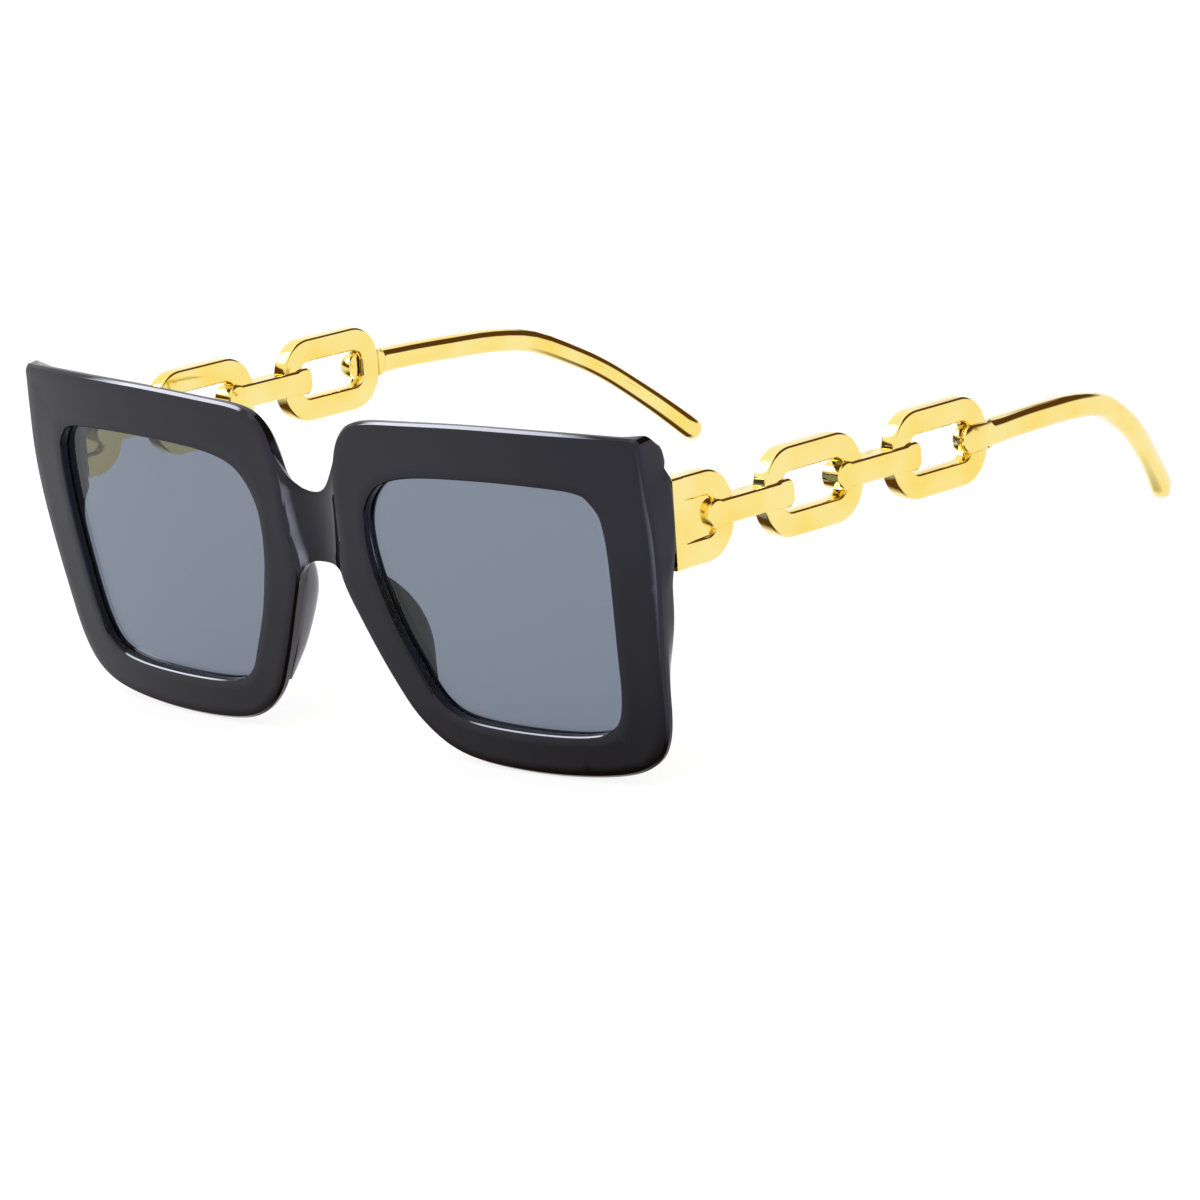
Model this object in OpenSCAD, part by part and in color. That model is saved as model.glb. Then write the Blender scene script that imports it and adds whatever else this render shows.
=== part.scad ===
// Square sunglasses with chain-link arms.
// The moulded front holds two tinted lenses and two glued nose pads.
// Each arm is a row of cast chain links that swings on a three-knuckle hinge.
// Left is the wearer's left, at +X. The front faces -Y and everything stands on Z = 0.

/* [Front] */
// Height of the front, from the table to the highest point of the brow
front_h = 59.4; // [50:0.1:68]
// Distance from the middle of the front to its outer side
half_w = 73.6; // [68:0.1:80]
// Narrowest place of the rim, on the nose side, from the middle
nose_gap_half = 5.0; // [4:0.1:8]
// Thickness of the rims from front face to back face
rim_t = 3.5; // [3.3:0.1:5]
// How far the outer sides curve back from the middle
wrap_depth = 5.1; // [2:0.1:9]
// Exponent of that curve, higher keeps the middle flatter
wrap_power = 3.5; // [2:0.1:5]
// How far the top and bottom curve back from the middle height
crown_depth = 1.5; // [0:0.1:3]
// Lean of the front, top forward
front_lean = 0.7; // [0:0.1:6]
// Polished bevel along the front edges
front_bevel = 0.45; // [0.2:0.05:0.8]
// Rounding of the outer edges at the back
back_round = 2.4; // [0.6:0.1:2.6]

/* [Openings and lenses] */
// Width of one lens opening
eye_w = 51.9; // [46:0.1:56]
// Height of one lens opening
eye_h = 42.9; // [36:0.1:48]
// Distance from the middle to the near side of the opening
eye_in = 12.4; // [11:0.1:16]
// Height of the lowest point of the opening above the table
eye_low = 7.4; // [6:0.1:10]
// Thickness of a lens
lens_t = 1.2; // [0.8:0.1:1.3]
// Depth of the lens behind the front face
lens_back = 1.5; // [1:0.1:1.6]
// Depth of the groove that holds the lens
groove_depth = 0.8; // [0.4:0.05:1.2]
// Gap between the lens and its groove on each side
lens_gap = 0.06; // [0.02:0.01:0.15]

/* [Bridge and nose pads] */
// Drop from the brow to the top of the bridge at the middle
bridge_drop = 15.1; // [10:0.1:19]
// Height of the bridge itself at the middle
bridge_h = 12.1; // [8:0.1:15]
// How far the face of the bridge sits behind the rims
bridge_recess = 0.8; // [0:0.1:2]
// Thickness of the bridge at the middle
bridge_t = 2.6; // [2:0.1:3.2]
// How much lower the bridge is behind than in front, at its top and again at its underside
bridge_fall = 0.8; // [0.2:0.1:1.6]
// How far a nose pad stands out behind the rim
pad_depth = 6.6; // [4:0.1:10]
// Sideways flare of a pad toward its rear edge
pad_flare = 3.2; // [2:0.1:6]
// Width of the foot of a pad on the rim
pad_foot = 5.0; // [3.5:0.1:6]
// Height of the lowest point of a pad
pad_low = 8.0; // [5:0.1:12]
// Height of a pad
pad_h = 23.6; // [18:0.1:25]

/* [Hinges] */
// Distance from the outer side of the front in to a hinge axis
hinge_in = 4.8; // [4:0.1:6]
// Distance from the brow corner back to a hinge axis
hinge_y = 5.4; // [5:0.1:8]
// Drop from the brow to the middle of a hinge
hinge_drop = 17.2; // [14:0.1:21]
// Distance from the hinge axis forward to the butt face
butt_gap = 1.8; // [1.7:0.05:2.4]
// Diameter of a knuckle
knuckle_d = 3.1; // [2.8:0.1:3.4]
// Height of the middle knuckle, which belongs to the arm
mid_knuckle_h = 3.2; // [2.6:0.1:4]
// Height of an outer knuckle, which belongs to the front
end_knuckle_h = 2.9; // [2.2:0.1:3.6]
// Diameter of the screw's shaft
screw_d = 1.4; // [1.2:0.05:1.6]
// Diameter of the screw's head
screw_head_d = 2.4; // [2:0.1:2.8]
// Height of the screw's head
screw_head_h = 0.7; // [0.5:0.05:1]
// Running gap between knuckles, and around the screw
run_gap = 0.06; // [0.03:0.01:0.1]
// Thickness of the hinge leaf on the back of the front
leaf_t = 0.9; // [0.7:0.05:1]

/* [Arms] */
// Drop of the arms below level, toward the ears
arm_drop = 7.5; // [0:0.1:12]
// Distance from the hinge axis out to the middle plane of the links
arm_out = 3.3; // [3.25:0.05:4]
// Height of the middle of the links above the hinge's middle
arm_rise = 1.05; // [0:0.05:2]
// Distance from the hinge axis to the round end of the hinge plate
plate_l = 12.0; // [11:0.1:16]
// Distance between two upright links, middle to middle
link_pitch = 30.8; // [28:0.1:34]
// Length of an upright link
link_l = 23.4; // [22:0.1:26]
// Height of an upright link
link_h = 14.8; // [13:0.1:17]
// Width of the bar of an upright link
link_bar = 4.1; // [3.4:0.1:4.6]
// Thickness of an upright link
link_t = 3.0; // [2.6:0.1:3.4]
// Outer corner radius of an upright link
link_r = 6.3; // [5.2:0.1:7]
// Thickness of a connecting link, across the arm
joiner_t = 4.0; // [3.9:0.05:5]
// Height of a connecting link at its ends
joiner_h = 4.7; // [3.9:0.1:5.2]
// Height of a connecting link at its waist
joiner_waist = 4.1; // [3.5:0.1:4.8]
// Length of the round nose of a connecting link, past the bar that it holds
joiner_nose = 2.4; // [2:0.1:3]
// Bevel along the edges of the links
link_bevel = 0.3; // [0.2:0.05:0.6]
// Gap all round a bar in its slot
slot_gap = 0.06; // [0.03:0.01:0.1]
// Corner radius at the rear end of a connecting link
joiner_r = 1.5; // [0.8:0.1:2]
// Depth of the plate's inner panel below its face, next to the connecting link
panel_sink = 0.5; // [0.2:0.05:0.8]
// Length of the collar that meets the front
collar_l = 2.5; // [1.8:0.1:3.2]
// How far the collar stands proud of its plate
collar_proud = 0.15; // [0.05:0.05:0.4]

/* [Ear pieces] */
// Distance from the hinge to the round end of the tip, along the arm
ear_l = 138.6; // [128:0.1:148]
// How far the tip bends in from the plane of the links
ear_in = 15.7; // [4:0.1:20]
// How far the end of the rod's nose is sunk below the inner side of the last link
nose_sink = 1.0; // [0.1:0.1:1.4]
// Width of the rod behind the links
rod_w = 4.1; // [3.4:0.1:4.6]
// Height of the rod behind the links
rod_h = 4.5; // [3.8:0.1:5]

/* [Hidden] */
$fn = 48;
over = 1.0;                       // overrun of every cut
hinge_x = half_w - hinge_in;
hinge_z = front_h - hinge_drop;
bridge_top = front_h - bridge_drop;
bridge_low = bridge_top - bridge_h;
pad_high = pad_low + pad_h;
plane_x = arm_out;
left = 1;
right = -1;
black = [0.06, 0.06, 0.07];
smoke = [0.35, 0.39, 0.45, 0.6];
gold = [0.93, 0.76, 0.38];

// Outline of a rim, from the middle of the outer side over the corner, brow, nose side and bottom.
// Each row: outer point across and up, opening point across and up, rounding of the back edge.
rim_shares = [
    [0.986, 0.939, 0.985, 0.909, 0.4],
    [0.981, 0.984, 0.960, 0.949, 0.6],
    [0.941, 0.992, 0.921, 0.981, 1.0],
    [0.774, 0.998, 0.802, 0.996, 1.0],
    [0.510, 0.998, 0.551, 1.000, 1.0],
    [0.277, 0.987, 0.281, 0.986, 1.0],
    [0.125, 0.973, 0.127, 0.951, 0.9],
    [0.063, 0.931, 0.050, 0.886, 0.75],
    [0.035, 0.859, 0.008, 0.790, 0.6],
    [0.022, 0.766, 0.000, 0.685, 0.5],
    [0.020, 0.648, 0.012, 0.573, 0.5],
    [0.000, 0.529, 0.033, 0.480, 0.5],
    [0.044, 0.392, 0.073, 0.340, 0.5],
    [0.114, 0.222, 0.139, 0.182, 0.75],
    [0.182, 0.104, 0.193, 0.075, 0.95],
    [0.299, 0.022, 0.291, 0.016, 1.0],
    [0.510, 0.000, 0.522, 0.000, 1.0],
    [0.745, 0.015, 0.786, 0.013, 1.0],
    [0.876, 0.057, 0.909, 0.061, 1.0],
    [0.938, 0.151, 0.956, 0.177, 1.0],
    [0.964, 0.337, 0.977, 0.375, 0.9],
    [0.993, 0.581, 0.996, 0.632, 0.8],
    [1.000, 0.724, 1.000, 0.783, 0.15],
    [0.993, 0.842, 0.994, 0.872, 0.3]
];
rim_steps = 4;
stations = len(rim_shares) * rim_steps;
bridge_first = 8 * rim_steps;
bridge_last = 11.5 * rim_steps;
bridge_rows = 12;

function mix(a, b, t) = a + (b - a) * t;
function clamp01(t) = min(1, max(0, t));
function ease(t) = clamp01(t) * clamp01(t) * (3 - 2 * clamp01(t));
function spline(a, b, c, d, t) =
    0.5 * (2 * b + (c - a) * t + (2 * a - 5 * b + 4 * c - d) * t * t + (3 * b - a - 3 * c + d) * t * t * t);
function closed_at(rows, k) =
    let(n = len(rows), i = floor(k), t = k - i)
    spline(rows[(i + n - 1) % n], rows[i % n], rows[(i + 1) % n], rows[(i + 2) % n], t);
function toward(a, b, d) = a + (b - a) * d / norm(b - a);

// The curved front face: y of the face at a place across and up
mid_z = front_h / 2;
function face_y(x, z) =
    wrap_depth * (pow(abs(x) / half_w, wrap_power) - 1)
    + crown_depth * (pow((z - mid_z) / mid_z, 2) - 1)
    + (front_h - z) * tan(front_lean);

// The butt face, square to the arm, continues as the flat back of the end piece
function butt_y(z) = hinge_y + ((z - hinge_z) * sin(arm_drop) - butt_gap) / cos(arm_drop);
lug_half = link_h / 2 + link_bevel;
lug_edge = 1.8;
lug_mid = hinge_z + arm_rise;
lug_start = eye_in + eye_w - 3 * lug_edge;
function lug(x, z) =
    ease((abs(x) - lug_start) / (2 * lug_edge)) * ease((lug_half + lug_edge - abs(z - lug_mid)) / lug_edge);
function back_y(x, z) = mix(face_y(x, z) + rim_t, butt_y(z), lug(x, z));

rim_w = half_w - nose_gap_half;
function station(k) = closed_at(rim_shares, k / rim_steps);
function rim_point(s) = [nose_gap_half + rim_w * s[0], front_h * s[1]];
function eye_point(s) = [eye_in + eye_w * s[2], eye_low + eye_h * s[3]];
function at_face(p, d) = [p[0], face_y(p[0], p[1]) + d, p[1]];
function at_back(p, d) = [p[0], back_y(p[0], p[1]) - d, p[1]];

// One section through the rim, from the back over the outer wall and the face to the lens groove
groove_w = lens_t + 2 * lens_gap;
eye_bevel = front_bevel / 2;
back_slant = 1.4;                 // inward reach of the back rounding over its depth
back_bow_share = 0.42;            // place of its middle, 0.5 is a flat chamfer
function rim_section(k) =
    let(
        s = station(k),
        o = rim_point(s),
        e = eye_point(s),
        r = back_round * s[4]
    )
    [
        at_back(toward(o, e, r * back_slant), 0),
        at_back(toward(o, e, r * back_slant * back_bow_share), r * back_bow_share),
        at_back(o, r),
        at_face(o, front_bevel),
        at_face(toward(o, e, front_bevel), 0),
        at_face(toward(e, o, eye_bevel), 0),
        at_face(e, eye_bevel),
        at_face(e, lens_back),
        at_face(toward(e, o, groove_depth), lens_back),
        at_face(toward(e, o, groove_depth), lens_back + groove_w),
        at_face(e, lens_back + groove_w),
        at_back(e, eye_bevel),
        at_back(toward(e, o, eye_bevel), 0)
    ];
section_n = len(rim_section(0));
wall_back = 2;
wall_front = 3;

function flip(p) = [-p[0], p[1], p[2]];
left_rim = [for (k = [0:stations - 1]) each rim_section(k)];
right_rim = [for (p = left_rim) flip(p)];

// The bridge: rows of points across the nose, each a loop down the face and up the back
notch_power = 2.2;                // how fast its top falls to the middle, 2 is a parabola
arch_power = 4;                   // the same for its underside and its back
edge_share = 0.6;                 // its thickness at those two edges over that between them
bridge_n = bridge_last - bridge_first + 1;
function bridge_point(row, q) =
    let(
        on_face = q < bridge_n,
        i = on_face ? q : 2 * bridge_n - 1 - q,
        u = 1 - 2 * row / bridge_rows,
        s = abs(u),
        rim = left_rim[(bridge_first + i) * section_n + (on_face ? wall_front : wall_back)],
        down = i / (bridge_n - 1),
        fall = on_face ? 0 : bridge_fall,
        z_mid = mix(bridge_top - fall, bridge_low + fall, down),
        z = mix(z_mid, rim[2], pow(s, on_face ? mix(notch_power, arch_power, down) : arch_power)),
        x = rim[0] * u,
        rim_depth = rim[1] - face_y(rim[0], rim[2]),
        mid_depth = on_face ? bridge_recess : bridge_recess + bridge_t * mix(edge_share, 1, sin(180 * down))
    )
    [x, face_y(x, z) + mix(mid_depth, rim_depth, pow(s, 2)), z];
bridge_points = [for (row = [1:bridge_rows - 1], q = [0:2 * bridge_n - 1]) bridge_point(row, q)];

function ring_index(side, k, m) =
    (side == left ? 0 : stations * section_n) + (k % stations) * section_n + m % section_n;
function bridge_index(row, q) =
    let(
        on_face = q < bridge_n,
        i = on_face ? q : 2 * bridge_n - 1 - q,
        m = on_face ? wall_front : wall_back
    )
    row == 0 ? ring_index(left, bridge_first + i, m)
    : row == bridge_rows ? ring_index(right, bridge_first + i, m)
    : 2 * stations * section_n + (row - 1) * 2 * bridge_n + q;
function is_open(k, m) = m == wall_back && k >= bridge_first && k < bridge_last;
function quad(a, b, c, d, turned) = turned ? [[a, c, b], [a, d, c]] : [[a, b, c], [a, c, d]];
rim_faces = [
    for (side = [left, right], k = [0:stations - 1], m = [0:section_n - 1])
        if (!is_open(k, m))
            each quad(
                ring_index(side, k, m),
                ring_index(side, k, m + 1),
                ring_index(side, k + 1, m + 1),
                ring_index(side, k + 1, m),
                side == right
            )
];
bridge_faces = [
    for (row = [0:bridge_rows - 1], q = [0:2 * bridge_n - 1])
        let(next = (q + 1) % (2 * bridge_n))
        each quad(
            bridge_index(row, q),
            bridge_index(row, next),
            bridge_index(row + 1, next),
            bridge_index(row + 1, q),
            false
        )
];

// A curved lens, drawn as rings that close on its middle
lens_rings = [1, 0.66, 0.33];
lens_edge = [for (k = [0:2:stations - 1]) let(s = station(k)) toward(eye_point(s), rim_point(s), groove_depth - lens_gap)];
lens_mid = [eye_in + eye_w / 2, eye_low + eye_h / 2];
lens_n = len(lens_edge);
function lens_side(d) = concat(
    [for (r = lens_rings, p = lens_edge) at_face(mix(lens_mid, p, r), d)],
    [at_face(lens_mid, d)]
);
lens_points = concat(lens_side(lens_back + lens_gap), lens_side(lens_back + lens_gap + lens_t));
lens_side_n = lens_n * len(lens_rings) + 1;
lens_faces = concat(
    [
        for (f = [0, 1], r = [0:len(lens_rings) - 2], i = [0:lens_n - 1])
            let(b = f * lens_side_n, j = (i + 1) % lens_n)
            each quad(
                b + r * lens_n + i,
                b + r * lens_n + j,
                b + (r + 1) * lens_n + j,
                b + (r + 1) * lens_n + i,
                f == 0
            )
    ],
    [
        for (f = [0, 1], i = [0:lens_n - 1])
            let(
                b = f * lens_side_n,
                inner = b + (len(lens_rings) - 1) * lens_n,
                j = (i + 1) % lens_n,
                m = b + lens_side_n - 1
            )
            f == 0 ? [inner + j, inner + i, m] : [inner + i, inner + j, m]
    ],
    [
        for (i = [0:lens_n - 1])
            let(j = (i + 1) % lens_n)
            each quad(i, j, lens_side_n + j, lens_side_n + i, false)
    ]
);

// A nose pad: sections from its low end to its high end, each with a foot on the back of the rim
pad_rows = 12;
pad_shares = [[0, 0], [0.22, 0.42], [0.55, 0.80], [0.92, 0.99], [1.25, 0.93], [1.38, 0.66], [1.25, 0.30]];
pad_n = len(pad_shares) + 1;
function nose_x(z, k = 11) =
    let(a = rim_point(station(k * rim_steps)), b = rim_point(station((k + 1) * rim_steps)))
    z >= b[1] || k >= 14 ? mix(a[0], b[0], (z - a[1]) / (b[1] - a[1])) : nose_x(z, k + 1);
function pad_size(t) = mix(0.15, 1, pow(sin(180 * pow(t, 1.3)), 0.75));
function pad_section(i) =
    let(
        t = i / pad_rows,
        z = mix(pad_low, pad_high, t),
        d = pad_depth * pad_size(t),
        x = nose_x(z) + back_round / 2,
        foot_x = x + pad_foot * mix(0.7, 1, pad_size(t))
    )
    concat(
        [for (s = pad_shares) [x + pad_flare * s[0] * pad_size(t), back_y(x, z) + d * s[1], z]],
        [[foot_x, back_y(foot_x, z), z]]
    );
pad_points = [for (i = [0:pad_rows]) each pad_section(i)];
pad_faces = concat(
    [concat([0], [for (m = [pad_n - 1:-1:1]) m])],
    [
        for (i = [0:pad_rows - 1], m = [0:pad_n - 1])
            let(n = (m + 1) % pad_n)
            each quad(i * pad_n + m, i * pad_n + n, (i + 1) * pad_n + n, (i + 1) * pad_n + m, false)
    ],
    [[for (m = [0:pad_n - 1]) pad_rows * pad_n + m]]
);

// Places along an arm, measured from the hinge axis
first_link_y = plate_l + link_pitch - link_l / 2;
second_link_y = first_link_y + link_pitch;
joiner_l = link_pitch - link_l + 2 * (link_bar + joiner_nose);
first_joiner_y = plate_l + (link_pitch - link_l) / 2;
second_joiner_y = first_joiner_y + link_pitch;
joiner_slot_y = (link_pitch - link_l + link_bar) / 2;
collar_end_y = collar_l - butt_gap;
knuckle_pitch = (mid_knuckle_h + end_knuckle_h) / 2 + run_gap;
hinge_h = mid_knuckle_h + 2 * end_knuckle_h + 2 * run_gap;

// The ear rod starts as a nose like a connecting link's, then thins, bends down and turns in.
// Each row: along, outward, down, width, height. The fall sets the tips on the table with the rims.
rod_nose_y = second_link_y + (link_l - link_bar) / 2;
rod_start_y = rod_nose_y + link_bar / 2 + 0.4 * joiner_nose;
rod_route_shares = [
    [0.000, 0.000, 0.00, 1.00, 1.000],
    [0.048, 0.000, 0.00, 0.97, 0.95],
    [0.126, -0.035, 0.00, 0.95, 0.93],
    [0.251, -0.110, 0.01, 0.96, 0.94],
    [0.405, -0.190, 0.03, 0.96, 0.92],
    [0.546, -0.285, 0.10, 0.93, 0.87],
    [0.680, -0.445, 0.28, 0.82, 0.82],
    [0.762, -0.565, 0.42, 0.76, 0.80],
    [0.840, -0.690, 0.59, 0.72, 0.80],
    [0.926, -0.850, 0.80, 0.74, 0.84],
    [1.000, -1.000, 1.00, 0.84, 0.90]
];
tip_r = rod_h * 0.96 / 2;
ear_fall = arm_rise + (hinge_z - tip_r - ear_l * sin(arm_drop)) / cos(arm_drop);
rod_rows = [
    for (s = rod_route_shares)
        [ear_in * s[1], mix(rod_start_y, ear_l, s[0]), -ear_fall * s[2], rod_w * s[3], rod_h * s[4]]
];
rod_steps = 3;
rod_n = 12;
rod_last = len(rod_rows) - 1;
function rod_row(i) = rod_rows[min(rod_last, max(0, i))];
function rod_at(k) = let(i = floor(k), t = k - i) spline(rod_row(i - 1), rod_row(i), rod_row(i + 1), rod_row(i + 2), t);
function unit(v) = v / norm(v);
function rod_dir(k) =
    let(h = 0.1, a = rod_at(max(0, k - h)), b = rod_at(min(rod_last, k + h)))
    unit([b[0] - a[0], b[1] - a[1], b[2] - a[2]]);
function squarish(c) = sign(c) * pow(abs(c), 0.62);
function rod_ring(k, forward, size) =
    let(
        p = rod_at(k),
        dir = rod_dir(k),
        side = unit(cross(dir, [0, 0, 1])),
        up = cross(side, dir)
    )
    [
        for (m = [0:rod_n - 1])
            let(a = 360 * (m + 0.5) / rod_n)
            [p[0], p[1], p[2]] + dir * forward
            + side * (p[3] / 2 * size * squarish(cos(a)))
            + up * (p[4] / 2 * size * squarish(sin(a)))
    ];
cap_angles = [80, 55, 28];
rod_points = concat(
    [for (k = [0:1 / rod_steps:rod_last]) each rod_ring(k, 0, 1)],
    [for (i = [2:-1:0]) each rod_ring(rod_last, rod_h / 2 * sin(cap_angles[i]), cos(cap_angles[i]))]
);
rod_rings = len(rod_points) / rod_n;
rod_faces = concat(
    [[for (m = [rod_n - 1:-1:0]) m]],
    [
        for (r = [0:rod_rings - 2], m = [0:rod_n - 1])
            let(n = (m + 1) % rod_n)
            each quad(r * rod_n + m, r * rod_n + n, (r + 1) * rod_n + n, (r + 1) * rod_n + m, false)
    ],
    [[for (m = [0:rod_n - 1]) (rod_rings - 1) * rod_n + m]]
);

// The part is centred on its footprint
front_most = min([for (p = left_rim) p[1]]);
rear_most = hinge_y + max([for (p = rod_points) p[1] * cos(arm_drop) + (p[2] + arm_rise) * sin(arm_drop)]);
middle_y = (front_most + rear_most) / 2;

module placed() {
    translate([0, -middle_y, 0]) children();
}

module on_side(side) {
    if (side == left) children();
    else mirror([1, 0, 0]) children();
}

// Children stand in the arm's own frame: hinge axis up Z, arm along Y, outside at +X
module on_arm(side) {
    placed() on_side(side)
        translate([hinge_x, hinge_y, hinge_z]) rotate([-arm_drop, 0, 0]) children();
}

// A rectangular bar section with bevelled edges
module bar_section(w, h) {
    polygon([
        [-w / 2 + link_bevel, -h / 2],
        [w / 2 - link_bevel, -h / 2],
        [w / 2, -h / 2 + link_bevel],
        [w / 2, h / 2 - link_bevel],
        [w / 2 - link_bevel, h / 2],
        [-w / 2 + link_bevel, h / 2],
        [-w / 2, h / 2 - link_bevel],
        [-w / 2, -h / 2 + link_bevel]
    ]);
}

// A quarter turn of that bar, centred on the corner
module bar_corner(r, bar, t, start) {
    rotate([0, 0, start]) rotate_extrude(angle = 90)
        translate([r - bar / 2, 0]) bar_section(bar, t);
}

// An upright link, drawn lying flat with its length along Y
module chain_link() {
    for (sy = [-1, 1]) {
        for (sx = [-1, 1])
            translate([sx * (link_h / 2 - link_r), sy * (link_l / 2 - link_r), 0])
                bar_corner(link_r, link_bar, link_t, sx > 0 ? (sy > 0 ? 0 : 270) : (sy > 0 ? 90 : 180));
        translate([-(link_h / 2 - link_r), sy * (link_l - link_bar) / 2, 0]) rotate([90, 0, 90])
            linear_extrude(link_h - 2 * link_r) bar_section(link_bar, link_t);
    }
    for (sx = [-1, 1])
        translate([sx * (link_h - link_bar) / 2, link_l / 2 - link_r, 0]) rotate([90, 0, 0])
            linear_extrude(link_l - 2 * link_r) bar_section(link_bar, link_t);
}

module front_frame() {
    color(black) placed()
        polyhedron(points = concat(left_rim, right_rim, bridge_points), faces = concat(rim_faces, bridge_faces));
}

module lens(side) {
    color(smoke) placed() on_side(side) polyhedron(points = lens_points, faces = lens_faces);
}

module nose_pad(side) {
    color(black) placed() on_side(side) polyhedron(points = pad_points, faces = pad_faces);
}

// Two knuckles on a leaf that lies on the flat back of the end piece
leaf_in = knuckle_d * 1.15;
leaf_out = knuckle_d / 2 - run_gap;
module front_hinge(side) {
    color(black) on_arm(side) difference() {
        union() {
            translate([-leaf_in, -butt_gap, -hinge_h / 2]) cube([leaf_in + leaf_out - run_gap, leaf_t, hinge_h]);
            for (s = [-1, 1]) translate([0, 0, s * knuckle_pitch - end_knuckle_h / 2]) {
                cylinder(d = knuckle_d, h = end_knuckle_h);
                translate([-knuckle_d / 2, -butt_gap, 0]) cube([knuckle_d * 0.8, butt_gap, end_knuckle_h]);
            }
        }
        translate([0, 0, -hinge_h / 2 - over]) cylinder(d = screw_d + 2 * run_gap, h = hinge_h + 2 * over);
        translate([-knuckle_d / 2 - run_gap, -butt_gap - over, -mid_knuckle_h / 2 - run_gap])
            cube([knuckle_d + over, butt_gap + knuckle_d + over, mid_knuckle_h + 2 * run_gap]);
    }
}

// A slotted screw through the three knuckles
slot_w = screw_head_d / 6;
module hinge_screw(side) {
    color(gold) on_arm(side) difference() {
        union() {
            translate([0, 0, -hinge_h / 2]) cylinder(d = screw_d, h = hinge_h);
            translate([0, 0, hinge_h / 2]) cylinder(d = screw_head_d, h = screw_head_h);
        }
        translate([-slot_w / 2, -screw_head_d, hinge_h / 2 + screw_head_h / 2])
            cube([slot_w, 2 * screw_head_d, screw_head_h]);
    }
}

// The first half link: collar, two bars, round end, sloping panel and the arm's own knuckle
module end_plate(side) {
    straight = plate_l - link_r - collar_end_y;
    inner_h = link_h - 2 * link_bar;
    panel_end = plate_l - link_bar - joiner_nose - slot_gap;
    inner_x = -link_t / 2 + link_t / 4;
    tang_x = plane_x - link_t / 2 + link_bevel;
    color(gold) on_arm(side) difference() {
        union() {
            translate([plane_x, 0, arm_rise]) {
                rotate([0, 90, 0]) {
                    for (sx = [-1, 1]) {
                        translate([sx * (link_h / 2 - link_r), plate_l - link_r, 0])
                            bar_corner(link_r, link_bar, link_t, sx > 0 ? 0 : 90);
                        translate([sx * (link_h - link_bar) / 2, plate_l - link_r, 0]) rotate([90, 0, 0])
                            linear_extrude(straight) bar_section(link_bar, link_t);
                    }
                    translate([-(link_h / 2 - link_r), plate_l - link_bar / 2, 0]) rotate([90, 0, 90])
                        linear_extrude(link_h - 2 * link_r) bar_section(link_bar, link_t);
                }
                translate([0, 0, -inner_h / 2 - link_bevel]) linear_extrude(inner_h + 2 * link_bevel) polygon([
                    [inner_x, collar_end_y - link_bevel],
                    [link_t / 2 - panel_sink / 6, collar_end_y - link_bevel],
                    [link_t / 2 - panel_sink, panel_end],
                    [inner_x, panel_end]
                ]);
                translate([0, -butt_gap, 0]) rotate([-90, 0, 0])
                    linear_extrude(collar_l) bar_section(link_t + 2 * collar_proud, link_h);
            }
            translate([0, 0, -mid_knuckle_h / 2]) cylinder(d = knuckle_d, h = mid_knuckle_h);
            translate([0, -knuckle_d / 2, -mid_knuckle_h / 2]) cube([tang_x, knuckle_d * 0.9, mid_knuckle_h]);
        }
        translate([0, 0, -mid_knuckle_h / 2 - over])
            cylinder(d = screw_d + 2 * run_gap, h = mid_knuckle_h + 2 * over);
    }
}

// A flat disc of radius r, t thick across the arm, with bevelled edges
module bevelled_disc(r, t) {
    rotate([0, 90, 0]) rotate_extrude() polygon([
        [0, -t / 2],
        [r - link_bevel, -t / 2],
        [r, -t / 2 + link_bevel],
        [r, t / 2 - link_bevel],
        [r - link_bevel, t / 2],
        [0, t / 2]
    ]);
}

// A bar along Y with bevelled edges, from y0 to y1
module bevelled_bar(y0, y1, h, t) {
    translate([0, y1, 0]) rotate([90, 0, 0]) linear_extrude(y1 - y0) bar_section(t, h);
}

// A connecting link: a round end at the front, a waist, and an end with small corners behind
module waisted_bar(l) {
    foot = joiner_r - link_bevel;
    translate([0, (joiner_h - l) / 2, 0]) bevelled_disc(joiner_h / 2, joiner_t);
    bevelled_bar((joiner_h - l) / 2, l / 2 - joiner_r, joiner_waist, joiner_t);
    bevelled_bar((l - joiner_h) / 2, l / 2 - joiner_r, joiner_h, joiner_t);
    translate([0, (l - joiner_h) / 2, 0]) bevelled_disc(joiner_h / 2, joiner_t);
    for (s = [-1, 1]) translate([0, l / 2 - joiner_r, s * (joiner_h / 2 - joiner_r)])
        bevelled_disc(joiner_r, joiner_t);
    translate([0, l / 2 - joiner_r, foot - joiner_h / 2]) linear_extrude(joiner_h - 2 * foot)
        bar_section(joiner_t, 2 * joiner_r);
}

// The slot that the end bar of an upright link runs through, a little longer on the side of its hole
curve_gap = 0.08 * link_bar;
module bar_slot(hole_side) {
    translate([-link_t / 2 - slot_gap, -link_bar / 2 - (hole_side < 0 ? curve_gap : slot_gap), -joiner_h / 2 - over])
        cube([link_t + 2 * slot_gap, link_bar + slot_gap + curve_gap, joiner_h + 2 * over]);
}

module joiner(side, y) {
    color(gold) on_arm(side) translate([plane_x, y, arm_rise]) difference() {
        waisted_bar(joiner_l);
        for (s = [-1, 1]) translate([0, s * joiner_slot_y, 0]) bar_slot(s);
    }
}

module upright_link(side, y) {
    color(gold) on_arm(side) translate([plane_x, y, arm_rise]) rotate([0, 90, 0])
        chain_link();
}

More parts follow.
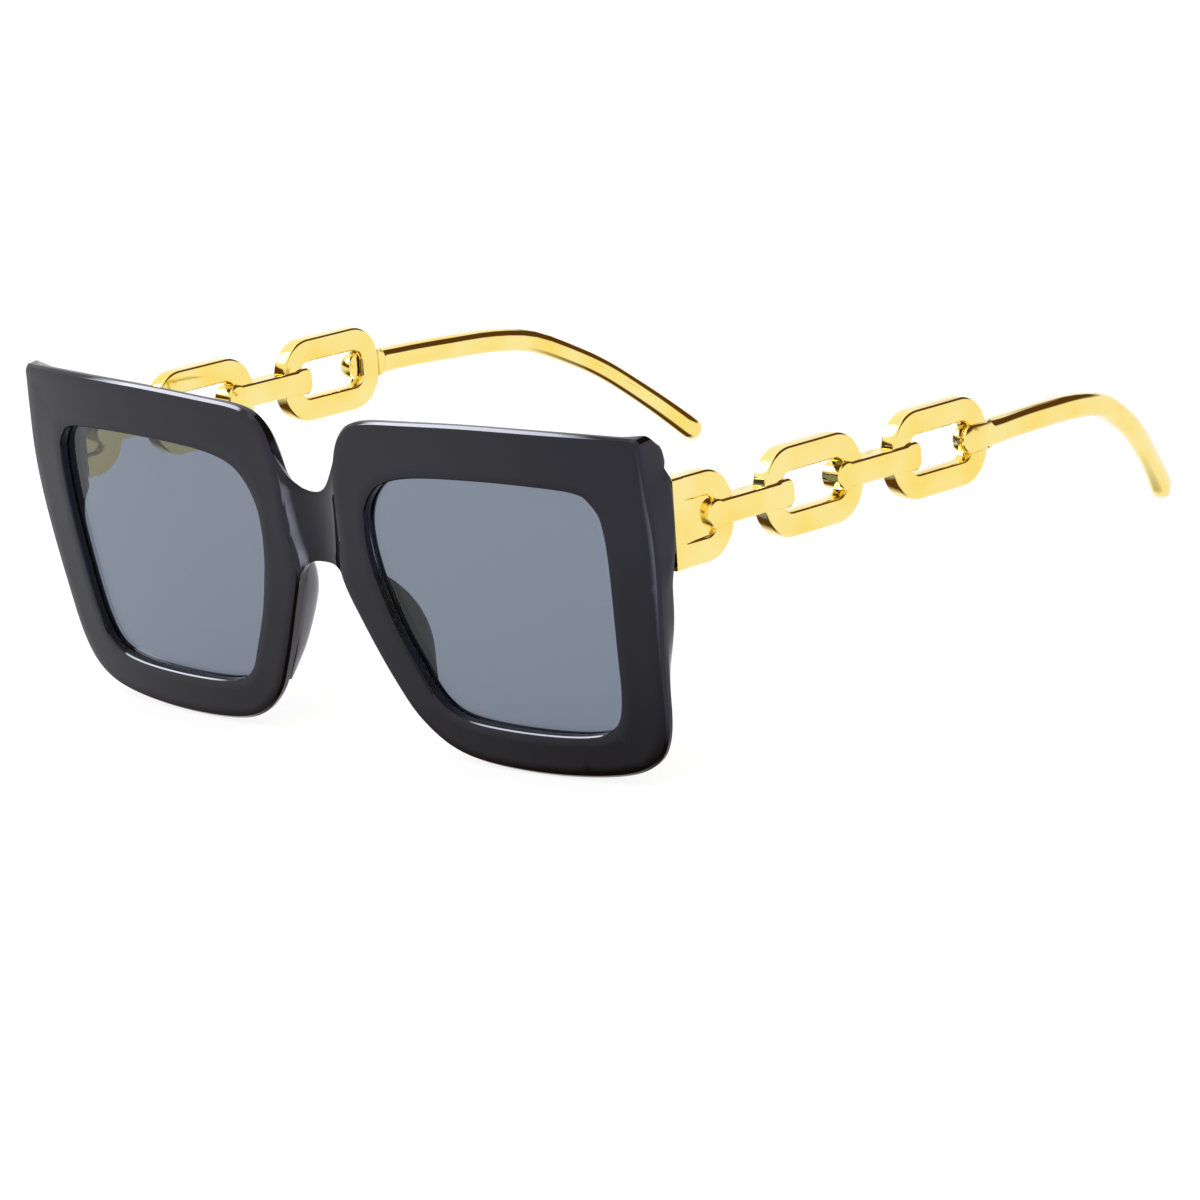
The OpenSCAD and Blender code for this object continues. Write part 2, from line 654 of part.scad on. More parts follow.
// The rod's nose laps the last bar of the chain on the outside only, and ends sunk in its hole.
// The swept rod grows out of it.
nose_tip_y = rod_nose_y - link_bar / 2 - joiner_nose;
module ear_rod(side) {
    color(gold) on_arm(side) translate([plane_x, 0, arm_rise]) {
        difference() {
            union() {
                translate([0, nose_tip_y + joiner_h / 2, 0]) bevelled_disc(joiner_h / 2, joiner_t);
                bevelled_bar(nose_tip_y + joiner_h / 2, rod_start_y, joiner_h, joiner_t);
            }
            translate([0, rod_nose_y, 0]) bar_slot(-1);
            translate([nose_sink - link_t / 2 - joiner_t, nose_tip_y - over, -joiner_h / 2 - over])
                cube([joiner_t, joiner_nose + link_bar + slot_gap + over, joiner_h + 2 * over]);
        }
        polyhedron(points = rod_points, faces = rod_faces);
    }
}

front_frame();
lens(left);  // left_lens
lens(right);  // right_lens
nose_pad(left);  // left_nose_pad
nose_pad(right);  // right_nose_pad
front_hinge(left);  // left_front_hinge
front_hinge(right);  // right_front_hinge
hinge_screw(left);  // left_hinge_screw
hinge_screw(right);  // right_hinge_screw
end_plate(left);  // left_end_plate
end_plate(right);  // right_end_plate
joiner(left, first_joiner_y);  // left_first_joiner
joiner(right, first_joiner_y);  // right_first_joiner
upright_link(left, first_link_y);  // left_first_link
upright_link(right, first_link_y);  // right_first_link
joiner(left, second_joiner_y);  // left_second_joiner
joiner(right, second_joiner_y);  // right_second_joiner
upright_link(left, second_link_y);  // left_second_link
upright_link(right, second_link_y);  // right_second_link
ear_rod(left);  // left_ear_rod
ear_rod(right);  // right_ear_rod
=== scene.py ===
"""Square sunglasses with chain-link arms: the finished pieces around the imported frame, and their stage."""

import math

import bpy
from mathutils import Euler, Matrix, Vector


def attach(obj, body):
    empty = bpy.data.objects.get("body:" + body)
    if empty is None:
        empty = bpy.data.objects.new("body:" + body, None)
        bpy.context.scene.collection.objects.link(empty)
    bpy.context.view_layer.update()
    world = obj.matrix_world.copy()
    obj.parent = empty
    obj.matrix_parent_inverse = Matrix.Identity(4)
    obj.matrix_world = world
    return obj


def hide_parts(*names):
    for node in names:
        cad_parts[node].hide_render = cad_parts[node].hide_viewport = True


bl_info = {
    "name": "Square sunglasses",
    "version": (1, 0, 0),
    "blender": (4, 5, 0),
    "location": "View3D > Sidebar > Sunglasses",
    "description": "Builds the finished pieces of a pair of square sunglasses around their packed frame",
    "category": "Object",
}

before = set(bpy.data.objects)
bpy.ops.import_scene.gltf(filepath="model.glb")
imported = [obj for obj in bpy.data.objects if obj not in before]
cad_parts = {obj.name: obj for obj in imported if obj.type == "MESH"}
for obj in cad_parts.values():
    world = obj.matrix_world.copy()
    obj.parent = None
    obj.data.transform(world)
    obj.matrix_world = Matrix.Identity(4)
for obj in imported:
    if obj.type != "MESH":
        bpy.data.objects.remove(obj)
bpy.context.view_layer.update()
MM = 0.001
SIDES = ("left", "right")
GOLD_PIECES = ("end_plate", "first_joiner", "first_link", "second_joiner", "second_link", "ear_rod")


class EyewearShape(bpy.types.PropertyGroup):
    """Sizes of the finish on each piece."""

    edge: bpy.props.FloatProperty(
        name="Polished edge", description="Radius of the polished edges of the gold pieces",
        default=0.12 * MM, min=0.01 * MM, max=0.3 * MM, unit="LENGTH", precision=5)
    moulded_edge: bpy.props.FloatProperty(
        name="Moulded edge", description="Radius of the polished edges of the front",
        default=0.2 * MM, min=0.01 * MM, max=0.4 * MM, unit="LENGTH", precision=5)
    small_edge: bpy.props.FloatProperty(
        name="Hinge edge", description="Radius of the edges of the hinges and screws",
        default=0.05 * MM, min=0.01 * MM, max=0.1 * MM, unit="LENGTH", precision=5)
    hollow: bpy.props.FloatProperty(
        name="Bridge hollow", description="Depth of the hollow in the front of the bridge",
        default=1.0 * MM, min=0.0, max=2.0 * MM, unit="LENGTH", precision=5)
    levels: bpy.props.IntProperty(
        name="Smoothing", description="Subdivision levels of the curved pieces", default=2, min=1, max=3)


class EyewearFinish(bpy.types.PropertyGroup):
    """Colours and polish of each material."""

    acetate: bpy.props.FloatVectorProperty(
        name="Acetate", description="Colour of the moulded front and nose pads", subtype="COLOR",
        size=3, default=(0.0035, 0.0035, 0.0042), min=0.0, max=1.0)
    lens: bpy.props.FloatVectorProperty(
        name="Lens tint", description="Colour that a lens lets through", subtype="COLOR",
        size=3, default=(0.182, 0.214, 0.275), min=0.0, max=1.0)
    gold: bpy.props.FloatVectorProperty(
        name="Gold", description="Colour of the gold plating", subtype="COLOR",
        size=3, default=(0.97, 0.80, 0.31), min=0.0, max=1.0)
    gold_deep: bpy.props.FloatVectorProperty(
        name="Deep gold", description="Colour of the warmer patches in the plating", subtype="COLOR",
        size=3, default=(0.97, 0.73, 0.18), min=0.0, max=1.0)
    gold_roughness: bpy.props.FloatProperty(
        name="Gold roughness", description="Blur of the reflections in the gold", default=0.06,
        min=0.0, max=1.0, subtype="FACTOR")
    acetate_roughness: bpy.props.FloatProperty(
        name="Acetate roughness", description="Blur of the reflections in the front", default=0.05,
        min=0.0, max=1.0, subtype="FACTOR")


class EyewearStage(bpy.types.PropertyGroup):
    """Camera, lamps and floor."""

    camera_place: bpy.props.FloatVectorProperty(
        name="Camera place", description="Where the camera stands", subtype="TRANSLATION", unit="LENGTH",
        size=3, default=(0.7312, -0.7116, 0.33687))
    camera_turn: bpy.props.FloatVectorProperty(
        name="Camera turn", description="How the camera is turned", subtype="EULER", unit="ROTATION",
        size=3, default=tuple(math.radians(a) for a in (71.5626, 9.0195, 43.2853)))
    camera_lens: bpy.props.FloatProperty(
        name="Focal length", description="Focal length on a sensor 36 mm wide",
        default=186.0, subtype="DISTANCE_CAMERA")
    ambient: bpy.props.FloatProperty(
        name="Ambient", description="Brightness of the room's walls on matt surfaces", default=0.62, min=0.0)
    glint: bpy.props.FloatProperty(
        name="Glint", description="Strength of the small lamp that polished edges mirror",
        default=36.0, min=0.0)
    softbox: bpy.props.FloatProperty(
        name="Softbox", description="Strength of the lamp that the bridge's hollow mirrors",
        default=16.0, min=0.0)
    key: bpy.props.FloatProperty(
        name="Key lamp", description="Power of the large lamp overhead", default=3.0, min=0.0, unit="POWER")
    floor: bpy.props.FloatProperty(
        name="Floor size", description="Length of a side of the floor", default=6.0, min=1.0, unit="LENGTH")
    paper: bpy.props.FloatProperty(
        name="Floor grey", description="Share of the light that the floor scatters",
        default=0.38, min=0.0, max=1.0, subtype="FACTOR")
    glow: bpy.props.FloatProperty(
        name="Floor glow", description="Brightness that the floor has of its own", default=0.80, min=0.0)


class Socket:
    """A value in a material. Arithmetic on it adds Math nodes."""

    def __init__(self, graph, output):
        self.graph, self.output = graph, output

    def __getitem__(self, index):
        """X, Y or Z of a vector."""
        return self.graph.add("ShaderNodeSeparateXYZ", values={0: self}, output=index)

    def math(self, operation, *values):
        """A Math node over the values."""
        return self.graph.add("ShaderNodeMath", {"operation": operation}, dict(enumerate(values)))

    def __add__(self, other):
        return self.math("ADD", self, other)

    def __sub__(self, other):
        return self.math("SUBTRACT", self, other)

    def __rsub__(self, other):
        return self.math("SUBTRACT", other, self)

    def __mul__(self, other):
        return self.math("MULTIPLY", self, other)

    __radd__, __rmul__ = __add__, __mul__

    def clamped(self, low=0.0, high=1.0):
        """The value, kept from low to high."""
        return self.graph.add("ShaderNodeClamp", values={"Value": self, "Min": low, "Max": high})

    def rising(self, low, high):
        """0 up to low, 1 from high."""
        return ((self - low) * (1.0 / (high - low))).clamped()


class Graph:
    """The node tree of one material or world."""

    def __init__(self, owner):
        owner.use_nodes = True
        self.tree = owner.node_tree
        self.tree.nodes.clear()

    def add(self, kind, options=None, values=None, output=0):
        """A new node with its options and inputs. Gives the named output."""
        node = self.tree.nodes.new(kind)
        for key, value in (options or {}).items():
            if key == "stops":
                self.stops(node.color_ramp, value)
            else:
                setattr(node, key, value)
        for key, value in (values or {}).items():
            if isinstance(value, Socket):
                self.tree.links.new(value.output, node.inputs[key])
            else:
                node.inputs[key].default_value = value
        return Socket(self, node.outputs[output]) if len(node.outputs) else node

    def stops(self, ramp, stops):
        """Gives a colour ramp its stops."""
        while len(ramp.elements) > 1:
            ramp.elements.remove(ramp.elements[-1])
        ramp.elements[0].position, ramp.elements[0].color = stops[0]
        for position, colour in stops[1:]:
            ramp.elements.new(position).color = colour

    def noise(self, scale, detail):
        """Noise over the object's own coordinates, per metre."""
        where = self.add("ShaderNodeTexCoord", output="Object")
        return self.add("ShaderNodeTexNoise", values={"Vector": where, "Scale": scale, "Detail": detail})

    def blend(self, factor, a, b):
        """A colour between a and b."""
        return self.add("ShaderNodeMix", {"data_type": "RGBA"}, {"Factor": factor, 6: a, 7: b}, output=2)

    def ramp(self, factor, *stops):
        """Grey levels or colours at the given places of factor."""
        return self.add("ShaderNodeValToRGB", {"stops": [
            (at, (*v, 1.0) if isinstance(v, tuple) else (v, v, v, 1.0)) for at, v in stops]}, {"Fac": factor})

    def spot(self, where, place, radius, sharpness):
        """0 beyond radius from a place, and 1 around the place itself. Sharpness is the slope between."""
        values = {0: where, 1: place}
        away = self.add("ShaderNodeVectorMath", {"operation": "DISTANCE"}, values, output="Value")
        return ((radius - away) * sharpness).clamped()

    def bump(self, height, strength, distance):
        """The surface's direction, with height as relief."""
        values = {"Height": height, "Strength": strength, "Distance": distance}
        return self.add("ShaderNodeBump", values=values)

    def surface(self, shader, target="ShaderNodeOutputMaterial"):
        """Joins the shader to the output."""
        self.add(target, values={"Surface": shader})


def opaque(colour, shade=1.0):
    """A colour with full alpha, darker or lighter by shade."""
    return (*(shade * c for c in colour), 1.0)


def acetate_material(finish):
    """Polished black acetate: a faint swirl in the colour, and the soft waves left by a polishing wheel."""
    mat = bpy.data.materials.new("polished_acetate")
    g = Graph(mat)
    swirl = g.noise(scale=90.0, detail=3.0)
    haze = g.noise(scale=420.0, detail=2.0)
    wave = g.bump(g.noise(scale=160.0, detail=1.0), strength=0.05, distance=0.2 * MM)
    cool = (0.82, 0.81, 1.0, 1.0)
    g.surface(g.add("ShaderNodeBsdfPrincipled", values={
        "Base Color": g.blend(swirl, opaque(finish.acetate), opaque(finish.acetate, shade=1.8)),
        "Roughness": finish.acetate_roughness * (0.8 + 0.4 * haze),
        "IOR": 1.5, "Specular Tint": cool, "Normal": wave}))
    return mat


def lens_material(finish):
    """Tinted lens: clear, with a slight change of tint from place to place."""
    mat = bpy.data.materials.new("smoke_lens")
    g = Graph(mat)
    cloud = g.noise(scale=14.0, detail=1.0)
    g.surface(g.add("ShaderNodeBsdfPrincipled", values={
        "Base Color": g.blend(cloud, opaque(finish.lens, shade=0.97), opaque(finish.lens, shade=1.03)),
        "Roughness": 0.0, "IOR": 1.5, "Transmission Weight": 1.0}))
    return mat


def gold_material(finish):
    """Polished gold plating: small changes of tone, and the fine haze of handling."""
    mat = bpy.data.materials.new("polished_gold")
    g = Graph(mat)
    tone = g.ramp(g.noise(scale=110.0, detail=1.0), (0.38, 0.0), (0.68, 1.0))
    haze = g.noise(scale=900.0, detail=3.0)
    wave = g.bump(g.noise(scale=150.0, detail=1.0), strength=0.08, distance=0.2 * MM)
    g.surface(g.add("ShaderNodeBsdfPrincipled", values={
        "Base Color": g.blend(tone, opaque(finish.gold), opaque(finish.gold_deep)), "Metallic": 1.0,
        "Roughness": finish.gold_roughness * (0.7 + 0.6 * haze), "Normal": wave}))
    return mat


def dark_metal_material():
    """Black plating of the hinge leaves."""
    mat = bpy.data.materials.new("black_plating")
    g = Graph(mat)
    haze = g.noise(scale=1200.0, detail=3.0)
    black, worn = (0.03, 0.03, 0.032, 1.0), (0.06, 0.058, 0.055, 1.0)
    g.surface(g.add("ShaderNodeBsdfPrincipled", values={
        "Base Color": g.blend(haze, black, worn),
        "Metallic": 1.0, "Roughness": 0.25 + 0.15 * haze}))
    return mat


def screw_material():
    """Turned steel of the hinge screws."""
    mat = bpy.data.materials.new("turned_steel")
    g = Graph(mat)
    grain = g.noise(scale=2600.0, detail=2.0)
    dull, bright = (0.55, 0.54, 0.52, 1.0), (0.75, 0.73, 0.70, 1.0)
    g.surface(g.add("ShaderNodeBsdfPrincipled", values={
        "Base Color": g.blend(grain, dull, bright),
        "Metallic": 1.0, "Roughness": 0.18 + 0.2 * grain,
        "Normal": g.bump(grain, strength=0.15, distance=0.1 * MM)}))
    return mat


def alone(obj):
    """Makes obj the only selected object."""
    if bpy.context.object and bpy.context.object.mode != "OBJECT":
        bpy.ops.object.mode_set(mode="OBJECT")
    bpy.ops.object.select_all(action="DESELECT")
    obj.select_set(True)
    bpy.context.view_layer.objects.active = obj


def piece_from(node, name):
    """A copy of a CAD node's mesh as a piece of its own, with its loose triangles merged."""
    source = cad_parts[node]
    obj = bpy.data.objects.new(name, source.data.copy())
    bpy.context.scene.collection.objects.link(obj)
    obj.data.materials.clear()
    alone(obj)
    if obj.data.has_custom_normals:
        bpy.ops.mesh.customdata_custom_splitnormals_clear()
    bpy.ops.object.mode_set(mode="EDIT")
    bpy.ops.mesh.select_all(action="SELECT")
    bpy.ops.mesh.remove_doubles(threshold=1e-6)
    bpy.ops.object.mode_set(mode="OBJECT")
    return obj


def eased(value, low, high):
    """0 up to low, 1 from high, eased between them."""
    t = min(1.0, max(0.0, (value - low) / (high - low)))
    return t * t * (3.0 - 2.0 * t)


def band(value, rise, fall):
    """0 outside and 1 inside, eased over rise and over fall."""
    return eased(value, *rise) * (1.0 - eased(value, *fall))


def reach(node, axis):
    """The least and the greatest place of a CAD node along an axis, in millimetres."""
    places = [v.co[axis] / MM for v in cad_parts[node].data.vertices]
    return min(places), max(places)


def fill_end_pieces(obj):
    """Squares the back edges of both end pieces, so that they meet their plates, and fills the shoulders.

    All sizes are in millimetres from the frame's origin: x across, y back, z up.
    """
    wall_x, start_x, full_x = 66.0, 66.5, 70.0
    start_y, start_z = -67.4, 12.0
    slice_half, edge_width, edge_slope = 0.9, 1.6, 0.22
    plate_x = reach("left_end_plate", 0)[1] + 0.1
    plate_z = ((34.2, 36.0), (50.2, 53.0))
    squared_z = ((20.0, 28.0), (56.0, 57.5))
    low_fill, low_z = 1.1, ((start_z, 26.0), (33.0, 36.0))
    shoulder_fill, shoulder_z = 0.7, (51.0, 53.4)
    extra_fill, extra_z = 1.5, (55.0, 59.0)
    verts = obj.data.vertices
    walls = [(v.co.z / MM, abs(v.co.x) / MM) for v in verts if abs(v.co.x) > wall_x * MM]
    for v in verts:
        x, y, z = abs(v.co.x) / MM, v.co.y / MM, v.co.z / MM
        if x < start_x or z < start_z or y < start_y:
            continue
        wall = max(w for at, w in walls if abs(at - z) < slice_half)
        if wall - x < edge_width:
            target = wall + (plate_x - wall) * band(z, *plate_z) - edge_slope * (wall - x)
            v.co.x = math.copysign((x + (target - x) * band(z, *squared_z)) * MM, v.co.x)
        low = low_fill * band(z, *low_z)
        shoulder = (shoulder_fill + extra_fill * (1.0 - eased(z, *extra_z))) * eased(z, *shoulder_z)
        v.co.y += (low + shoulder) * eased(x, start_x, full_x) * MM


def hollow_bridge(obj, depth):
    """Hollows the front of the bridge between the two rims. The hollow widens a little towards the top.

    Its depth fades out towards face_y, where the bridge turns back, and at its lower and upper end.
    """
    half, spread, middle_z = 5.95, 0.08, 37.5
    face_y, fade = -71.5, 1.4
    rise, fall = (26.0, 31.0), (43.5, 50.0)
    for v in obj.data.vertices:
        x, y, z = (c / MM for c in v.co)
        side = half + spread * (z - middle_z)
        if abs(x) < side and rise[0] < z < fall[1] and y < face_y:
            level = band(z, rise, fall) * min(1.0, (face_y - y) / fade)
            v.co.y += depth * (1.0 - (x / side) ** 2) * level


def fit_rod_start(obj):
    """Brings the end of the nose to the rod's section, and its inner side level with the last link."""
    mid_x = sum(reach("left_second_link", 0)) / 2.0
    mid_z = 33.57
    end_y, cut_y = (11.2, 11.95), (10.3, 11.0)
    corner_x, outer_x, corner_z = 1.69, 1.9, 1.92
    step, narrowing = 0.5, 0.97
    inner_side, forward = -1.45, 0.15
    for v in obj.data.vertices:
        x, y, z = abs(v.co.x) / MM, v.co.y / MM, v.co.z / MM
        across, up = x - mid_x, z - mid_z
        if end_y[0] < y < end_y[1] and abs(across) > corner_x and abs(up) > corner_z:
            if abs(across) > outer_x:
                up -= math.copysign(step, up)
            else:
                across -= math.copysign(step, across)
                up *= narrowing
        elif cut_y[0] < y < cut_y[1]:
            across = max(across, inner_side)
            v.co.y -= forward * MM
        v.co.x = math.copysign((mid_x + across) * MM, v.co.x)
        v.co.z = (mid_z + up) * MM


def fit_panel(obj):
    """Carries the plate's sunk panel on behind the nose of the first connecting link."""
    panel_x, end_y = (71.3, 73.2), (-57.5, -56.4)
    below_z, above_z, longer = 39.4, 45.7, 2.6
    for v in obj.data.vertices:
        x, y, z = abs(v.co.x) / MM, v.co.y / MM, v.co.z / MM
        at_end = panel_x[0] < x < panel_x[1] and end_y[0] < y < end_y[1]
        if at_end and (z < below_z or z > above_z):
            v.co.y += longer * MM


def apply_modifiers(obj):
    """Applies all of a piece's modifiers in turn."""
    alone(obj)
    for name in [m.name for m in obj.modifiers]:
        bpy.ops.object.modifier_apply(modifier=name)


def quads_and_creases(obj, crease, angle):
    """Pairs the triangles, and keeps the edges that turn more than angle, in degrees."""
    alone(obj)
    bpy.ops.object.mode_set(mode="EDIT")
    bpy.ops.mesh.select_all(action="SELECT")
    bpy.ops.mesh.tris_convert_to_quads(face_threshold=math.radians(16), shape_threshold=math.pi)
    bpy.ops.mesh.select_all(action="DESELECT")
    bpy.ops.mesh.select_mode(type="EDGE")
    bpy.ops.mesh.edges_select_sharp(sharpness=math.radians(angle))
    bpy.ops.transform.edge_crease(value=crease)
    bpy.ops.object.mode_set(mode="OBJECT")


def subdivide(obj, levels):
    """Smooths a piece by subdivision."""
    mod = obj.modifiers.new("Smooth", "SUBSURF")
    mod.levels = mod.render_levels = levels
    apply_modifiers(obj)


def round_edges(obj, width, angle, segments=2):
    """Rounds the edges that turn more than angle, in degrees."""
    mod = obj.modifiers.new("Edges", "BEVEL")
    mod.limit_method, mod.angle_limit = "ANGLE", math.radians(angle)
    mod.width, mod.segments = width, segments
    apply_modifiers(obj)


def polish(obj, width, angle=28.0, segments=3):
    """Merges flat facets, rounds the sharp edges and shades the rest smooth."""
    alone(obj)
    bpy.ops.object.mode_set(mode="EDIT")
    bpy.ops.mesh.select_all(action="SELECT")
    bpy.ops.mesh.dissolve_limited(angle_limit=math.radians(0.5))
    bpy.ops.object.mode_set(mode="OBJECT")
    round_edges(obj, width, angle, segments)
    smooth(obj, angle=32.0)


def smooth(obj, angle):
    """Shades smooth across the edges that turn less than angle, in degrees."""
    alone(obj)
    bpy.ops.object.shade_smooth_by_angle(angle=math.radians(angle))


def settle(obj, mat, body, slot, *nodes):
    """Gives a piece its material and body, and hides the nodes that it stands for. The slot is not used."""
    obj.data.materials.clear()
    obj.data.materials.append(mat)
    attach(obj, body)
    if nodes:
        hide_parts(*nodes)


def settings():
    """The sizes, the finish and the stage, as the panel sets them."""
    scene = bpy.context.scene
    return scene.eyewear_shape, scene.eyewear_finish, scene.eyewear_stage


class EYEWEAR_OT_front(bpy.types.Operator):
    """Moulded front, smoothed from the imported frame's front"""

    bl_idname = "eyewear.front"
    bl_label = "Moulded front"

    def execute(self, context):
        shape, finish, _ = settings()
        obj = piece_from("front_frame", "moulded_front")
        fill_end_pieces(obj)
        quads_and_creases(obj, crease=1.0, angle=22.0)
        subdivide(obj, shape.levels)
        hollow_bridge(obj, shape.hollow)
        round_edges(obj, shape.moulded_edge, angle=24.0)
        smooth(obj, angle=40.0)
        settle(obj, acetate_material(finish), "front", "black_acetate", "front_frame")
        return {"FINISHED"}


class EYEWEAR_OT_lenses(bpy.types.Operator):
    """Both tinted lenses"""

    bl_idname = "eyewear.lenses"
    bl_label = "Lenses"

    def execute(self, context):
        shape, finish, _ = settings()
        mat = lens_material(finish)
        for side in SIDES:
            obj = piece_from(f"{side}_lens", f"{side}_tinted_lens")
            quads_and_creases(obj, crease=1.0, angle=40.0)
            subdivide(obj, shape.levels)
            smooth(obj, angle=40.0)
            settle(obj, mat, "front", "smoke_lens", f"{side}_lens")
        return {"FINISHED"}


class EYEWEAR_OT_pads(bpy.types.Operator):
    """Both nose pads, glued behind the rims"""

    bl_idname = "eyewear.pads"
    bl_label = "Nose pads"

    def execute(self, context):
        shape, finish, _ = settings()
        mat = bpy.data.materials.get("polished_acetate") or acetate_material(finish)
        for side in SIDES:
            obj = piece_from(f"{side}_nose_pad", f"{side}_moulded_pad")
            quads_and_creases(obj, crease=0.9, angle=60.0)
            subdivide(obj, shape.levels)
            smooth(obj, angle=60.0)
            settle(obj, mat, "front", "black_acetate", f"{side}_nose_pad")
        return {"FINISHED"}


class EYEWEAR_OT_gold(bpy.types.Operator):
    """Gold plates, links and rods of both arms"""

    bl_idname = "eyewear.gold"
    bl_label = "Gold arms"

    def execute(self, context):
        shape, finish, _ = settings()
        mat = gold_material(finish)
        for side in SIDES:
            for part in GOLD_PIECES:
                node = f"{side}_{part}"
                obj = piece_from(node, f"{node}_polished")
                if part == "end_plate":
                    fit_panel(obj)
                if part == "ear_rod":
                    fit_rod_start(obj)
                    round_edges(obj, shape.edge, angle=50.0)
                    smooth(obj, angle=48.0)
                else:
                    polish(obj, shape.edge)
                settle(obj, mat, f"{side}_arm", "gold_metal", node)
        return {"FINISHED"}


class EYEWEAR_OT_hinges(bpy.types.Operator):
    """Hinge leaves and screws"""

    bl_idname = "eyewear.hinges"
    bl_label = "Hinges"

    def execute(self, context):
        shape, _, _ = settings()
        parts = (("front_hinge", dark_metal_material(), "black_metal"),
                 ("hinge_screw", screw_material(), "steel_screw"))
        for side in SIDES:
            for part, mat, slot in parts:
                node = f"{side}_{part}"
                obj = piece_from(node, f"{node}_polished")
                polish(obj, shape.small_edge, segments=2)
                settle(obj, mat, "front", slot, node)
        return {"FINISHED"}


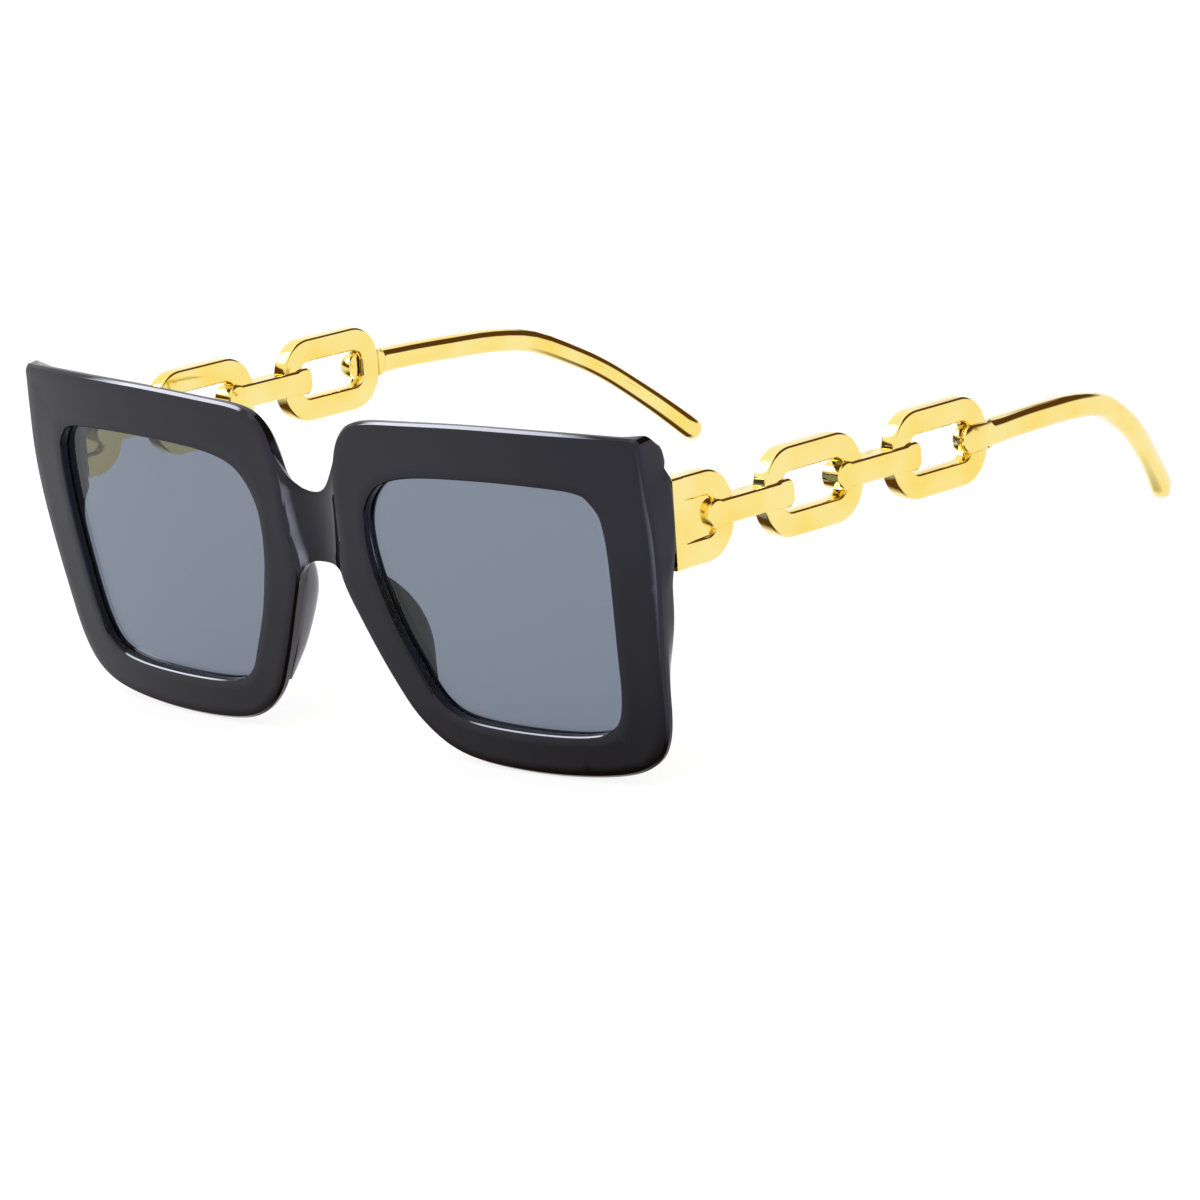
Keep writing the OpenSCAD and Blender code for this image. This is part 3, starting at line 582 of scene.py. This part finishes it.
class EYEWEAR_OT_stage(bpy.types.Operator):
    """Camera, lamps, room and floor"""

    bl_idname = "eyewear.stage"
    bl_label = "Stage"

    def execute(self, context):
        _, _, stage = settings()
        scene = context.scene
        scene.view_settings.view_transform = "Standard"
        self.camera(scene, stage)
        self.room(scene, stage)
        self.floor(stage)
        self.lamps(stage)
        return {"FINISHED"}

    def camera(self, scene, stage):
        """The camera, in front of the wearer's left side."""
        data = bpy.data.cameras.new("camera")
        data.sensor_width, data.lens = 36.0, stage.camera_lens
        data.clip_end = 20.0
        cam = bpy.data.objects.new("camera", data)
        cam.location = stage.camera_place
        cam.rotation_euler = Euler(stage.camera_turn)
        scene.collection.objects.link(cam)
        scene.camera = cam

    def looks(self, g):
        """Whether a ray looks at the room directly or through a lens, and whether in a polished surface."""
        camera, clear, glossy = [g.add("ShaderNodeLightPath", output=name) for name in (
            "Is Camera Ray", "Is Transmission Ray", "Is Glossy Ray")]
        return camera + clear, glossy - clear

    def room(self, scene, stage):
        """White all round for the eye. Polished surfaces see a studio with lamps, white walls and dark gaps.

        Places in the room are directions: x to the wearer's left, y back, z up.
        """
        scene.world = bpy.data.worlds.new("room")
        g = Graph(scene.world)
        direct, glossy = self.looks(g)
        where = g.add("ShaderNodeTexCoord", output="Generated")
        across, back, up = where[0], where[1], where[2]
        white, warm = (1.0, 1.0, 1.0, 1.0), (0.10, 0.045, 0.012)

        # The back half is white below. Above, it is dark, with a white patch high on the wearer's right.
        turn = 0.5 + 0.5 * (up - 0.95 * across)
        above = g.ramp(turn, (0.0, warm), (0.86, warm), (0.89, 1.0))
        behind = g.blend(up.rising(0.10, 0.225), white, above)

        # The front half has a pale wall between two dark gaps, under a white ceiling. It turns white
        # towards the wearer's left.
        height = 0.5 + 0.5 * up
        before = g.ramp(
            height, (0.0, warm), (0.22, warm), (0.30, 0.58), (0.342, 0.70), (0.375, 0.82),
            (0.49, 0.85), (0.53, warm), (0.66, warm), (0.69, 1.0))
        before = g.blend(across.rising(0.45, 0.70), before, white)
        mirrored = g.blend(back.rising(-0.2, 0.2), before, behind)

        # The room is brighter on the wearer's right, and has two lamps that only polished surfaces see.
        slant = (0.55 - 0.9 * across).clamped(1.0, 1.3)
        glint = stage.glint * g.spot(where, (-0.68, -0.31, 0.66), radius=0.26, sharpness=12.0)
        softbox = stage.softbox * g.spot(where, (-0.05, -0.945, -0.31), radius=0.21, sharpness=7.0)
        seen = direct + (slant + glint + softbox) * glossy
        g.surface(g.add("ShaderNodeBackground", values={
            "Color": g.blend(glossy, white, mirrored),
            "Strength": stage.ambient + (1.0 - stage.ambient) * seen}), "ShaderNodeOutputWorld")

    def floor(self, stage):
        """White paper under the sunglasses. Polished surfaces see the room's own lower half instead."""
        below = -0.05 * MM
        bpy.ops.object.select_all(action="DESELECT")
        bpy.ops.mesh.primitive_plane_add(size=stage.floor, location=(0.0, 0.0, below))
        floor = bpy.context.object
        floor.name = "floor"
        floor.visible_glossy = False
        mat = bpy.data.materials.new("pale_floor")
        g = Graph(mat)
        direct, _ = self.looks(g)
        matt = g.add("ShaderNodeBsdfDiffuse", values={"Color": opaque((stage.paper,) * 3)})
        white = (1.0, 1.0, 1.0, 1.0)
        glow = g.add("ShaderNodeEmission", values={"Color": white, "Strength": stage.glow * direct})
        g.surface(g.add("ShaderNodeAddShader", values={0: matt, 1: glow}))
        floor.data.materials.append(mat)

    def lamps(self, stage):
        """The large lamp overhead, which casts the soft shadows."""
        side, place, target = 1.2, Vector((0.1, -0.3, 1.3)), Vector((0.0, 0.0, 0.0))
        data = bpy.data.lights.new("key", "AREA")
        data.shape, data.size, data.energy = "SQUARE", side, stage.key
        key = bpy.data.objects.new("key", data)
        key.location = place
        key.rotation_euler = (target - place).to_track_quat("-Z", "Y").to_euler()
        bpy.context.scene.collection.objects.link(key)


class EYEWEAR_PT_panel(bpy.types.Panel):
    """Lists the pieces of the sunglasses"""

    bl_label = "Sunglasses"
    bl_idname = "EYEWEAR_PT_panel"
    bl_space_type = "VIEW_3D"
    bl_region_type = "UI"
    bl_category = "Sunglasses"

    def draw(self, context):
        for operator in OPERATORS:
            self.layout.operator(operator.bl_idname)
        for group in settings():
            for name in group.__annotations__:
                self.layout.prop(group, name)


OPERATORS = (
    EYEWEAR_OT_front,
    EYEWEAR_OT_lenses,
    EYEWEAR_OT_pads,
    EYEWEAR_OT_gold,
    EYEWEAR_OT_hinges,
    EYEWEAR_OT_stage,
)
GROUPS = {"eyewear_shape": EyewearShape, "eyewear_finish": EyewearFinish, "eyewear_stage": EyewearStage}


def register():
    """Adds the settings, the operators and the panel to Blender."""
    for group in GROUPS.values():
        bpy.utils.register_class(group)
    for name, group in GROUPS.items():
        setattr(bpy.types.Scene, name, bpy.props.PointerProperty(type=group))
    for operator in OPERATORS:
        bpy.utils.register_class(operator)
    bpy.utils.register_class(EYEWEAR_PT_panel)


def unregister():
    """Takes away all that register added."""
    bpy.utils.unregister_class(EYEWEAR_PT_panel)
    for operator in reversed(OPERATORS):
        bpy.utils.unregister_class(operator)
    for name, group in GROUPS.items():
        delattr(bpy.types.Scene, name)
        bpy.utils.unregister_class(group)


def main():
    """Builds every piece and the stage."""
    register()
    bpy.ops.eyewear.front()
    bpy.ops.eyewear.lenses()
    bpy.ops.eyewear.pads()
    bpy.ops.eyewear.gold()
    bpy.ops.eyewear.hinges()
    bpy.ops.eyewear.stage()


if __name__ == "__main__":
    main()
